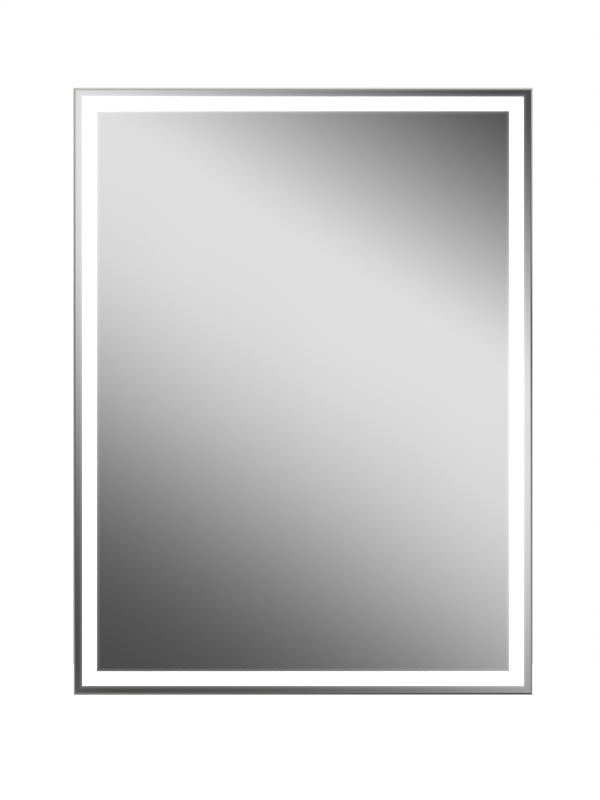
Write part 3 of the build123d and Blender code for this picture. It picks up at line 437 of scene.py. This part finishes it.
def screw_facts(points):
    """The place, axis and sizes of a plain screw: the two equal sides of its box lie across its axis."""
    low = Vector([min(p[i] for p in points) for i in range(3)])
    high = Vector([max(p[i] for p in points) for i in range(3)])
    size = high - low
    top = (low + high) / 2
    along = min(range(3), key=lambda i: abs(size[(i + 1) % 3] - size[(i + 2) % 3]))
    across = [i for i in range(3) if i != along]
    head_radius = max(size[i] for i in across) / 2
    heights = [p[along] for p in points]
    reaches = [math.hypot(*(p[i] - top[i] for i in across)) for p in points]
    rims = [height for height, reach in zip(heights, reaches) if reach > 0.98 * head_radius]
    head_is_high = sum(rims) / len(rims) > top[along]
    top[along] = high[along] if head_is_high else low[along]
    outward = Vector([0, 0, 0])
    outward[along] = 1 if head_is_high else -1
    rim_depth = max(abs(top[along] - rim) for rim in rims)
    shank = min(reach for reach in reaches if reach > 0.1 * head_radius)
    neck = min(abs(top[along] - height) for height, reach in zip(heights, reaches) if reach < 1.05 * shank)
    return top, outward, head_radius, rim_depth, neck, shank, size[along]


def add_loop(bm, place, radius, depth):
    """A circle of vertices round a screw's axis."""
    return [bm.verts.new(place @ Vector((radius * math.cos(turn), radius * math.sin(turn), -depth)))
            for turn in (2 * math.pi * i / SCREW_SIDES for i in range(SCREW_SIDES))]


def add_cross(bm, place, reach, width, depth):
    """The outline of a cross recess at one depth."""
    a, b = width / 2, reach
    corners = [(b, a), (a, a), (a, b), (-a, b), (-a, a), (-b, a),
               (-b, -a), (-a, -a), (-a, -b), (a, -b), (a, -a), (b, -a)]
    return [bm.verts.new(place @ Vector((x, y, -depth))) for x, y in corners]


def bridge(bm, first, second, slot_index=0):
    """Faces between two loops with as many vertices."""
    for i in range(len(first)):
        j = (i + 1) % len(first)
        bm.faces.new((first[i], first[j], second[j], second[i])).material_index = slot_index


def add_screw(bm, points):
    """One screw with a cross recess, where the plain one is. A pan head is domed, and a countersunk
    head is flat with a small edge."""
    top, outward, head, rim_depth, neck, shank, length = screw_facts(points)
    place = Matrix.Translation(top) @ outward.to_track_quat("Z", "Y").to_matrix().to_4x4()
    if rim_depth > 0.1 * MM:
        shape = [(0.55 * head, 0), (0.8 * head, 0.1 * neck), (0.95 * head, 0.4 * neck), (head, 0.7 * neck),
                 (head, neck), (shank, neck)]
    else:
        shape = [(0.97 * head, 0), (head, 0.03 * head), (shank, neck)]
    shape += [(shank, length - SCREW_TIP), (shank - SCREW_TIP, length)]
    loops = [add_loop(bm, place, radius, depth) for radius, depth in shape]
    for first, second in zip(loops, loops[1:]):
        bridge(bm, first, second)
    bm.faces.new(loops[-1])
    mouth = add_cross(bm, place, 0.5 * head, 0.2 * head, 0)
    floor = add_cross(bm, place, 0.32 * head, 0.13 * head, 0.55 * neck)
    bridge(bm, mouth, floor)
    bm.faces.new(floor)
    rims = []
    for loop in (loops[0], mouth):
        for pair in zip(loop, loop[1:] + loop[:1]):
            rims.append(bm.edges.get(pair) or bm.edges.new(pair))
    bmesh.ops.triangle_fill(bm, use_beauty=True, edges=rims)


def screw_group(node):
    """Fills a mesh with the screws that stand where a node's plain ones are."""
    def fill_mesh(bm):
        for points in loose_parts(node):
            add_screw(bm, points)
    return fill_mesh


def add_screws(finish):
    """The screws of each group, with domed or countersunk heads."""
    bodies = {"door_corner_screws": "door", "cup_screws": "door", "plate_screws": "cabinet",
              "rail_screws": "cabinet", "cover_screws": "cabinet"}
    for node, body in bodies.items():
        name = node.replace("screws", "cross_screws")
        add_piece(name, screw_group(node), [finish], body, [node])


def rectangle(bm, low, high, inset, y):
    """Four vertices of an upright rectangle, inset from a box's edges."""
    corners = [(low.x + inset, low.z + inset), (high.x - inset, low.z + inset),
               (high.x - inset, high.z - inset), (low.x + inset, high.z - inset)]
    return [bm.verts.new((x, y, z)) for x, z in corners]


def mirror_pane(low, high, silver_front):
    """Fills a mesh with a mirror pane: a silvered face, ground edges and a painted back."""
    def fill_mesh(bm):
        front_slot, back_slot = (0, 2) if silver_front else (2, 0)
        loops = [rectangle(bm, low, high, PANE_ARRIS, low.y),
                 rectangle(bm, low, high, 0, low.y + PANE_ARRIS),
                 rectangle(bm, low, high, 0, high.y - PANE_ARRIS),
                 rectangle(bm, low, high, PANE_ARRIS, high.y)]
        for outer, inner in zip(loops, loops[1:]):
            bridge(bm, outer, inner, 1)
        bm.faces.new(loops[0]).material_index = front_slot
        bm.faces.new(loops[-1]).material_index = back_slot
    return fill_mesh


def front_glass(low, high, band_inset):
    """Fills a mesh with the door's front pane: silver outside and inside the etched, lit band, with a strip
    of painted glow on the silvering at each side of the band.
    """
    def fill_mesh(bm):
        # glow: 1 at the band's edges and 0 a halo's width away, the mask of the painted glow beside the band
        glow = bm.verts.layers.float.new("glow")
        insets = [ARRIS, band_inset - HALO_WIDTH, band_inset, band_inset + BAND_WIDTH,
                  band_inset + BAND_WIDTH + HALO_WIDTH]
        loops = [rectangle(bm, low, high, inset, low.y) for inset in insets]
        for vertex in loops[2] + loops[3]:
            vertex[glow] = 1.0
        for outer, inner, slot_index in zip(loops, loops[1:], (0, 1, 2, 1)):
            bridge(bm, outer, inner, slot_index)
        bm.faces.new(loops[-1]).material_index = 0
        sides = [loops[0], rectangle(bm, low, high, 0, low.y + ARRIS),
                 rectangle(bm, low, high, 0, high.y - ARRIS), rectangle(bm, low, high, ARRIS, high.y)]
        for outer, inner in zip(sides, sides[1:]):
            bridge(bm, outer, inner, 3)
        bm.faces.new(sides[-1]).material_index = 4
    return fill_mesh


def add_glass():
    """The three mirror panes."""
    silver = silvered_glass()
    edge = polished_glass_edge()
    paint = mirror_backing_paint()
    low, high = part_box("front_mirror")
    band_inset = BAND_OFFSET - (low.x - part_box("door_frame_left")[0].x)
    finishes = [silver, silvered_glass_painted_halo(), etched_glass_lit(), edge, paint]
    add_piece("front_glass", front_glass(low, high, band_inset), finishes, "door",
              ["front_mirror"])
    add_piece("inner_pane", mirror_pane(*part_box("inner_mirror"), False), [silver, edge, paint], "door",
              ["inner_mirror"])
    add_piece("back_pane", mirror_pane(*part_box("back_mirror"), True), [silver, edge, paint], "cabinet",
              ["back_mirror"])


def add_camera():
    """The camera of the photograph: straight in front, with the door where the photograph has it."""
    door_low, door_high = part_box("door_frame_left")[0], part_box("door_frame_right")[1]
    centre = (door_low + door_high) / 2
    data = bpy.data.cameras.new("camera")
    data.sensor_fit = "HORIZONTAL"
    data.sensor_width = SENSOR_WIDTH
    data.lens = SENSOR_WIDTH * CAMERA_DISTANCE / (PHOTO_WIDTH * PHOTO_METRES_PER_PIXEL)
    camera = bpy.data.objects.new("camera", data)
    bpy.context.scene.collection.objects.link(camera)
    right = (DOOR_CENTRE_PIXEL[0] - PHOTO_WIDTH / 2) * PHOTO_METRES_PER_PIXEL
    up = (PHOTO_HEIGHT / 2 - DOOR_CENTRE_PIXEL[1]) * PHOTO_METRES_PER_PIXEL
    camera.location = (centre.x - right, door_low.y - CAMERA_DISTANCE, centre.z - up)
    camera.rotation_euler = (math.radians(90), 0, 0)
    bpy.context.scene.camera = camera


def add_area_light(name, place, size, watts):
    """A soft box at a place, turned to the cabinet, that mirrors don't show."""
    data = bpy.data.lights.new(name, "AREA")
    data.shape = "RECTANGLE"
    data.size, data.size_y = size
    data.energy = watts
    light = bpy.data.objects.new(name, data)
    light.location = place
    light.rotation_euler = (-Vector(place)).to_track_quat("-Z", "Y").to_euler()
    light.visible_glossy = False
    bpy.context.scene.collection.objects.link(light)


def add_floor():
    """A plain pale floor below the cabinet: white to the eye, apart from the cabinet's soft shadow, and
    clear from below."""
    made, tree, shader = grained("pale_floor", {"Emission Color": (1, 1, 1, 1)}, 12 * MM, "#E6E6E5",
                                 "#ECECEB", detail=2.0, roughness=(0.85, 0.95))
    place = add_node(tree, "ShaderNodeTexCoord")
    reach = add_node(tree, "ShaderNodeVectorMath", {"operation": "LENGTH"}, {0: place.outputs["Object"]})
    fade = add_node(tree, "ShaderNodeMapRange", {
        "interpolation_type": "SMOOTHSTEP", "From Min": SHADOW_REACH, "From Max": FADE_REACH,
        "To Min": FLOOR_GLOW, "To Max": 1.0}, {"Value": reach.outputs["Value"]})
    path = add_node(tree, "ShaderNodeLightPath")
    glow = add_node(tree, "ShaderNodeMath", {"operation": "MULTIPLY"},
                    {0: fade.outputs[0], 1: path.outputs["Is Camera Ray"]})
    tree.links.new(glow.outputs[0], shader.inputs["Emission Strength"])
    side = add_node(tree, "ShaderNodeNewGeometry")
    clear = add_node(tree, "ShaderNodeBsdfTransparent")
    surface = shader.outputs[0].links[0].to_socket
    one_sided = add_node(tree, "ShaderNodeMixShader", links={
        0: side.outputs["Backfacing"], 1: shader.outputs[0], 2: clear.outputs[0]})
    tree.links.new(one_sided.outputs[0], surface)
    mesh = bpy.data.meshes.new("floor")
    corners = [(x * FLOOR_HALF, y * FLOOR_HALF, 0) for x, y in ((-1, -1), (1, -1), (1, 1), (-1, 1))]
    mesh.from_pydata(corners, [], [(0, 1, 2, 3)])
    mesh.materials.append(made)
    floor = bpy.data.objects.new("floor", mesh)
    floor.location.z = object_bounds()[0][2] - FLOOR_DROP
    floor.visible_glossy = False
    bpy.context.scene.collection.objects.link(floor)


def smooth_step(value, low, high):
    """0 below low and 1 above high, with a soft turn between."""
    share = min(max((value - low) / (high - low), 0), 1)
    return share * share * (3 - 2 * share)


def tent_light(place):
    """How bright the tent's cloth is at a place: banded ahead of the door, brighter at the sides and
    behind, with a dark flag at each side, a bright top and a dark foot."""
    angle = math.atan2(place.x, -place.y)
    along = TENT_RADIUS * angle + TENT_SLOPE * place.z - TENT_PEAK
    offset = (along + TENT_LEFT_REACH) % TENT_PERIOD - TENT_LEFT_REACH
    if offset > 0:
        dark, fall = TENT_RIGHT_DARK, (offset / TENT_RIGHT_SPREAD) ** TENT_RIGHT_POWER
    else:
        dark, fall = TENT_LEFT_DARK, (-offset / TENT_LEFT_SPREAD) ** TENT_LEFT_POWER
    ahead = dark + (TENT_BRIGHT - dark) * math.exp(-fall)
    beside = TENT_SIDE_DARK + (TENT_SIDE_BRIGHT - TENT_SIDE_DARK) * ahead / TENT_BRIGHT
    share = smooth_step(-place.y / TENT_RADIUS, *TENT_AHEAD_FADE)
    light = ahead * share + beside * (1 - share)
    foot = smooth_step(place.z, *TENT_FOOT_FADE)
    light = TENT_FOOT * (1 - foot) + light * foot
    off_flag = abs(abs(angle) - FLAG_ANGLE)
    flag = 1 - smooth_step(off_flag, FLAG_HALF_ANGLE, FLAG_HALF_ANGLE + FLAG_FADE)
    flag *= smooth_step(place.z, *FLAG_FOOT_FADE) - smooth_step(place.z, *FLAG_TOP_FADE)
    light += ((RIGHT_FLAG if angle > 0 else LEFT_FLAG) - light) * flag
    top = smooth_step(place.z, *TENT_TOP_FADE)
    return light * (1 - top) + TENT_TOP * top


def add_tent():
    """A round tent of lit cloth, seen only in reflections."""
    made = bpy.data.materials.new("lit_cloth")
    made.use_nodes = True
    tree = made.node_tree
    tree.nodes.clear()
    bright = add_node(tree, "ShaderNodeAttribute", {"attribute_name": "light"})
    cloth = add_node(tree, "ShaderNodeEmission", {"Color": (1, 1, 1, 1)},
                     {"Strength": bright.outputs["Fac"]})
    add_node(tree, "ShaderNodeOutputMaterial", links={"Surface": cloth.outputs[0]})
    bm = bmesh.new()
    light = bm.verts.layers.float.new("light")
    turns = [2 * math.pi * j / TENT_SIDES for j in range(TENT_SIDES)]
    rows = []
    for i in range(TENT_RINGS + 1):
        z = TENT_HEIGHT * (i / TENT_RINGS - 0.5)
        rows.append([bm.verts.new((TENT_RADIUS * math.sin(turn), TENT_RADIUS * math.cos(turn), z))
                     for turn in turns])
    for vertex in bm.verts:
        vertex[light] = tent_light(vertex.co)
    for lower, upper in zip(rows, rows[1:]):
        bridge(bm, lower, upper)
    mesh = bpy.data.meshes.new("light_tent")
    bm.to_mesh(mesh)
    bm.free()
    mesh.materials.append(made)
    tent = bpy.data.objects.new("light_tent", mesh)
    bpy.context.scene.collection.objects.link(tent)
    tent.visible_camera = False
    tent.visible_diffuse = False
    tent.visible_shadow = False
    tent.visible_transmission = False
    tent.visible_volume_scatter = False


def add_world():
    """White to the eye and through glass, darker from below in reflections, and a plain soft light
    on everything else."""
    world = bpy.data.worlds.new("studio")
    bpy.context.scene.world = world
    world.use_nodes = True
    tree = world.node_tree
    tree.nodes.clear()
    path = add_node(tree, "ShaderNodeLightPath")
    place = add_node(tree, "ShaderNodeTexCoord")
    up = add_node(tree, "ShaderNodeSeparateXYZ", links={0: place.outputs["Generated"]})
    height = add_node(tree, "ShaderNodeMapRange", {
        "From Min": -HORIZON_FADE, "From Max": HORIZON_FADE,
        "To Min": REFLECTED_FLOOR - AMBIENT, "To Max": 1.0 - AMBIENT},
        {"Value": up.outputs[2]})
    shown = add_node(tree, "ShaderNodeMath", {"operation": "MULTIPLY"},
                     {0: height.outputs[0], 1: path.outputs["Is Glossy Ray"]})
    seen = add_node(tree, "ShaderNodeMath", {"operation": "MAXIMUM"},
                    {0: path.outputs["Is Camera Ray"], 1: path.outputs["Is Transmission Ray"]})
    white = add_node(tree, "ShaderNodeMath", {"operation": "MULTIPLY_ADD", 1: 1.0 - AMBIENT, 2: AMBIENT},
                     {0: seen.outputs[0]})
    strength = add_node(tree, "ShaderNodeMath", {"operation": "ADD"},
                        {0: white.outputs[0], 1: shown.outputs[0]})
    background = add_node(tree, "ShaderNodeBackground", {"Color": (1, 1, 1, 1)},
                          {"Strength": strength.outputs[0]})
    add_node(tree, "ShaderNodeOutputWorld", links={"Surface": background.outputs[0]})


def add_studio():
    """Soft boxes, floor, tent and background."""
    add_area_light("key_light", (-1.6, -2.4, 1.7), (1.6, 1.6), 55)
    add_area_light("fill_light", (1.9, -2.0, 0.6), (1.6, 1.8), 35)
    add_area_light("top_light", (0, 0.6, 2.0), (1.8, 1.4), 25)
    add_floor()
    add_tent()
    add_world()
    bpy.context.scene.view_settings.view_transform = "Standard"


zinc = zinc_plated_steel()
paint_nodes(zinc)
add_screws(zinc)
add_glass()
add_camera()
add_studio()
